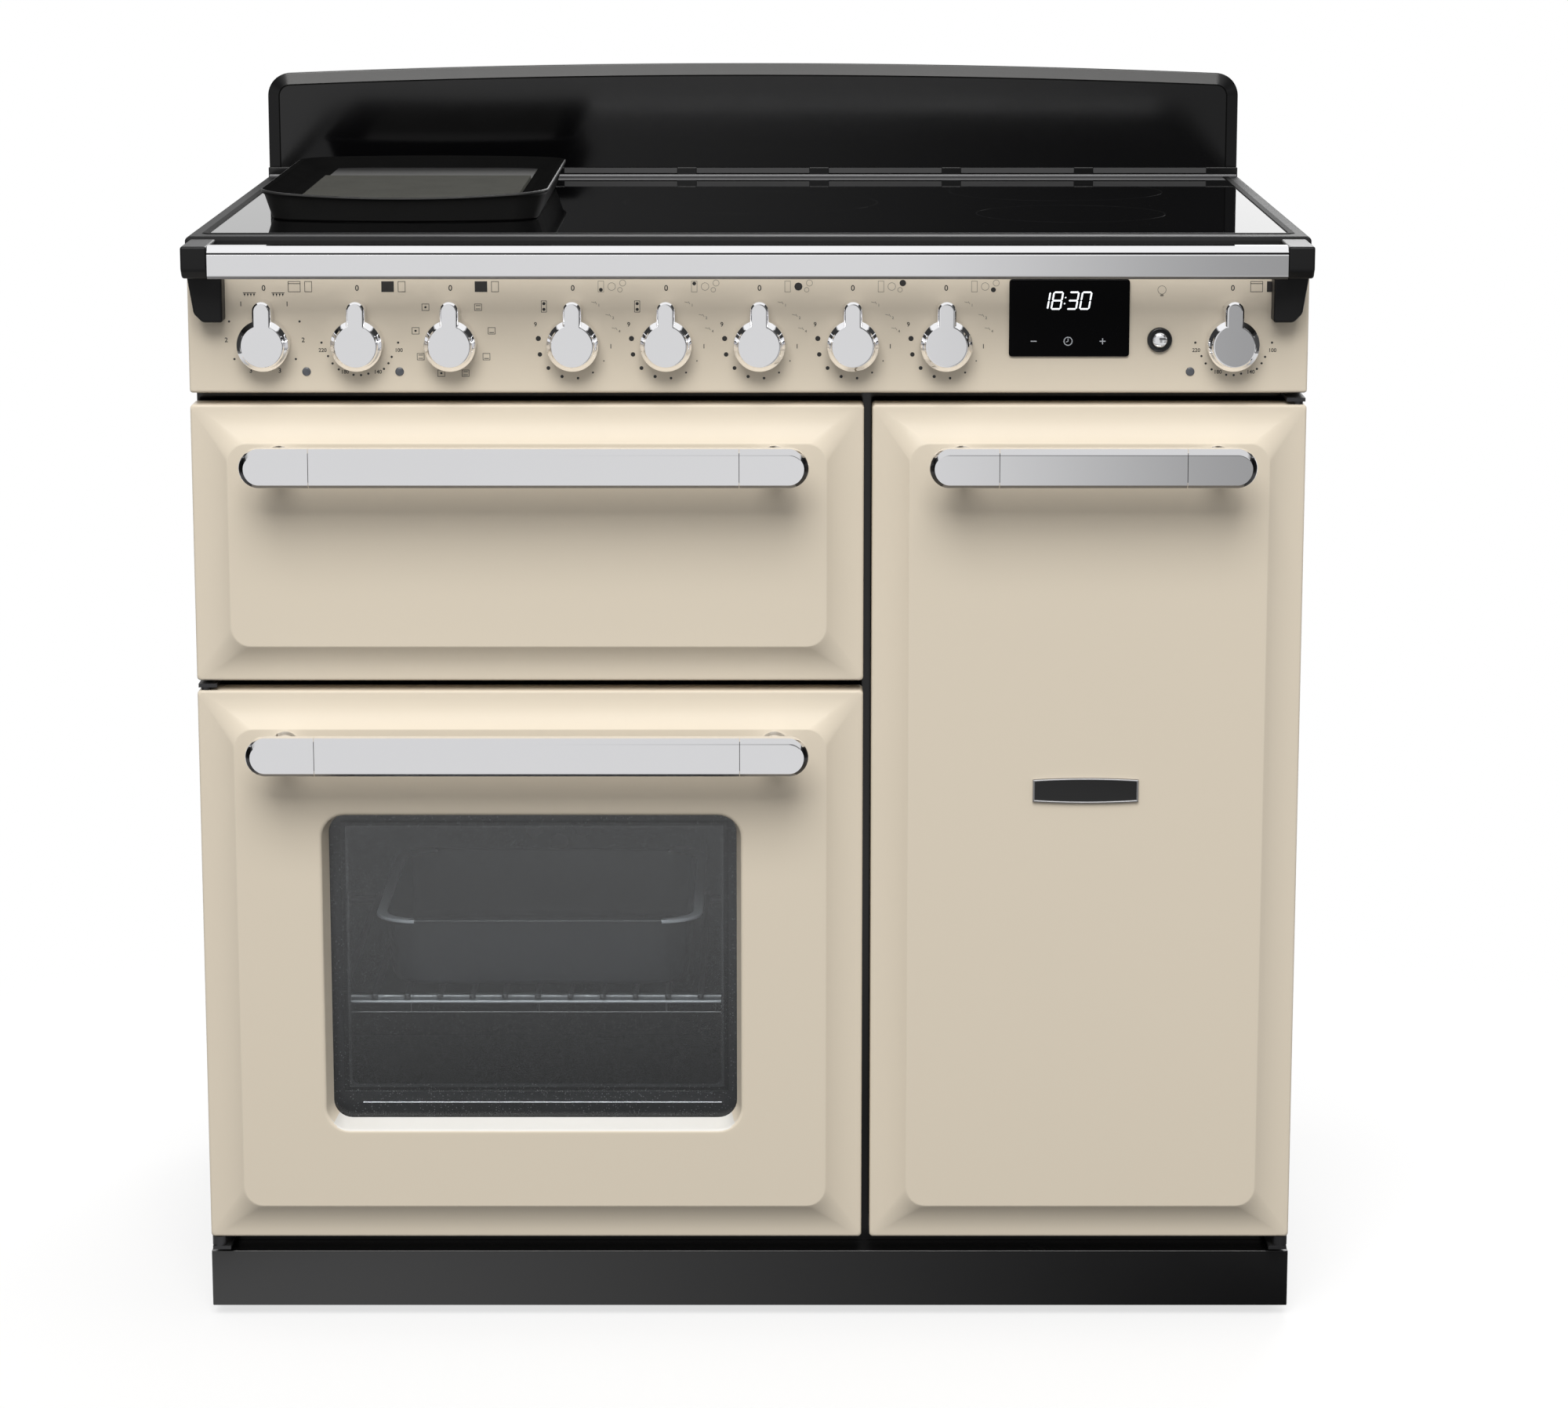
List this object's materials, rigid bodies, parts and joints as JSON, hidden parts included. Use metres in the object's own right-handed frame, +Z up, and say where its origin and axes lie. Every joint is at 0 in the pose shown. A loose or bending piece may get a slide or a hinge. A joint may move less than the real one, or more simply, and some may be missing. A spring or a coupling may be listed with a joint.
{
  "type": "range cooker",
  "caption": "Free-standing range cooker with a drop-down grill door, side-hung oven doors, an induction hob, rotary controls and a chrome handrail.",
  "frame": {"origin": "on the floor under the middle of the bounding box", "axes": "+Z up, -Y towards the cook, +X to the cook's right"},
  "size_m": [0.9, 0.662, 1.0089],
  "materials": {
    "cream_enamel": "gloss",
    "black_enamel": "gloss",
    "casing_paint": "satin",
    "zinc_sheet": "satin",
    "chrome": "polished",
    "hob_glass": "polished",
    "window_glass": "polished",
    "lamp_lens": "polished",
    "lamp_glass": "polished",
    "black_plastic": "matte",
    "circuit_board": "matte",
    "coil_winding": "satin",
    "element_steel": "satin",
    "fan_steel": "satin",
    "mineral_wool": "matte",
    "seal_braid": "matte",
    "griddle_iron": "satin"
  },
  "bodies": {
    "carcass": {"base_tray": "zinc_sheet", "side_panels": "casing_paint", "rear_panel": "zinc_sheet", "front_frame": "black_enamel", "plinth": "black_enamel", "levelling_feet": "black_plastic", "control_panel": "cream_enamel", "clock_glass": "hob_glass", "indicator_lamps": "lamp_lens", "control_switches": "black_plastic", "hob_frame": "black_enamel", "hob_glass": "hob_glass", "hob_tray": "zinc_sheet", "induction_coils": "coil_winding", "circuit_boards": "circuit_board", "splashback": "black_enamel", "vent_trim": "black_enamel", "handrail": "chrome", "rail_brackets": "casing_paint", "grill_liner": "black_enamel", "oven_liner": "black_enamel", "tall_oven_liner": "black_enamel", "insulation": "mineral_wool", "heating_elements": "element_steel", "fan_covers": "black_enamel", "fan_motors": "fan_steel", "shelf_runners": "chrome", "oven_shelves": "chrome", "grill_pan": "black_enamel", "roasting_tin": "black_enamel", "door_hinges": "zinc_sheet", "door_seals": "seal_braid", "mains_inlet": "black_plastic", "oven_lamps": "lamp_glass"},
    "grill_door": {"grill_door_skin": "cream_enamel", "grill_door_liner": "black_enamel", "grill_door_handle": "chrome"},
    "oven_door": {"oven_door_skin": "cream_enamel", "oven_door_liner": "black_enamel", "oven_door_outer_glass": "window_glass", "oven_door_inner_glass": "window_glass", "oven_door_handle": "chrome"},
    "tall_door": {"tall_door_skin": "cream_enamel", "tall_door_liner": "black_enamel", "tall_door_handle": "chrome", "badge_plate": "chrome"},
    "grill_knob": {"grill_knob": "chrome"},
    "oven_temperature_knob": {"oven_temperature_knob": "chrome"},
    "oven_function_knob": {"oven_function_knob": "chrome"},
    "hob_knob_1": {"hob_knob_1": "chrome"},
    "hob_knob_2": {"hob_knob_2": "chrome"},
    "hob_knob_3": {"hob_knob_3": "chrome"},
    "hob_knob_4": {"hob_knob_4": "chrome"},
    "hob_knob_5": {"hob_knob_5": "chrome"},
    "tall_temperature_knob": {"tall_temperature_knob": "chrome"},
    "light_button": {"light_button": "chrome"},
    "griddle": {"griddle": "griddle_iron"},
    "oven_fan": {"oven_fan": "fan_steel"},
    "tall_oven_fan": {"tall_oven_fan": "fan_steel"},
    "rear_rollers": {"rear_rollers": "black_plastic"}
  },
  "joints": [
    {"name": "grill_door_drop", "type": "hinge", "parent": "carcass", "child": "grill_door", "pos_m": [-0.1778, -0.265, 0.5658], "axis": [1, 0, 0], "range_deg": [0, 90], "stiffness_Nm_per_rad": 1.5, "springref_deg": -34.38},
    {"name": "oven_door_swing", "type": "hinge", "parent": "carcass", "child": "oven_door", "pos_m": [-0.442, -0.265, 0.3], "axis": [0, 0, -1], "range_deg": [0, 105]},
    {"name": "tall_door_swing", "type": "hinge", "parent": "carcass", "child": "tall_door", "pos_m": [0.442, -0.265, 0.42], "axis": [0, 0, 1], "range_deg": [0, 105]},
    {"name": "grill_knob_turn", "type": "hinge", "parent": "carcass", "child": "grill_knob", "pos_m": [-0.3872, -0.271, 0.82], "axis": [0, 1, 0], "range_deg": [-150, 150]},
    {"name": "oven_temperature_knob_turn", "type": "hinge", "parent": "carcass", "child": "oven_temperature_knob", "pos_m": [-0.3126, -0.271, 0.82], "axis": [0, 1, 0], "range_deg": [0, 270]},
    {"name": "oven_function_knob_turn", "type": "hinge", "parent": "carcass", "child": "oven_function_knob", "pos_m": [-0.238, -0.271, 0.82], "axis": [0, 1, 0], "continuous": true},
    {"name": "hob_knob_1_turn", "type": "hinge", "parent": "carcass", "child": "hob_knob_1", "pos_m": [-0.1402, -0.271, 0.82], "axis": [0, 1, 0], "range_deg": [0, 320]},
    {"name": "hob_knob_2_turn", "type": "hinge", "parent": "carcass", "child": "hob_knob_2", "pos_m": [-0.0656, -0.271, 0.82], "axis": [0, 1, 0], "range_deg": [0, 320]},
    {"name": "hob_knob_3_turn", "type": "hinge", "parent": "carcass", "child": "hob_knob_3", "pos_m": [0.009, -0.271, 0.82], "axis": [0, 1, 0], "range_deg": [0, 320]},
    {"name": "hob_knob_4_turn", "type": "hinge", "parent": "carcass", "child": "hob_knob_4", "pos_m": [0.0836, -0.271, 0.82], "axis": [0, 1, 0], "range_deg": [0, 320]},
    {"name": "hob_knob_5_turn", "type": "hinge", "parent": "carcass", "child": "hob_knob_5", "pos_m": [0.1582, -0.271, 0.82], "axis": [0, 1, 0], "range_deg": [0, 320]},
    {"name": "tall_temperature_knob_turn", "type": "hinge", "parent": "carcass", "child": "tall_temperature_knob", "pos_m": [0.3872, -0.271, 0.82], "axis": [0, 1, 0], "range_deg": [0, 270]},
    {"name": "light_button_press", "type": "slide", "parent": "carcass", "child": "light_button", "axis": [0, 1, 0], "range_m": [0, 0.003], "stiffness_N_per_m": 500},
    {"name": "griddle_lift", "type": "slide", "parent": "carcass", "child": "griddle", "axis": [0, 0, 1], "range_m": [0, 0.25]},
    {"name": "oven_fan_spin", "type": "hinge", "parent": "carcass", "child": "oven_fan", "pos_m": [-0.1778, 0.201, 0.3075], "axis": [0, 1, 0], "continuous": true},
    {"name": "tall_oven_fan_spin", "type": "hinge", "parent": "carcass", "child": "tall_oven_fan", "pos_m": [0.27405, 0.201, 0.425], "axis": [0, 1, 0], "continuous": true},
    {"name": "rear_roller_spin", "type": "hinge", "parent": "carcass", "child": "rear_rollers", "pos_m": [0, 0.2795, 0.018], "axis": [1, 0, 0], "continuous": true}
  ]
}
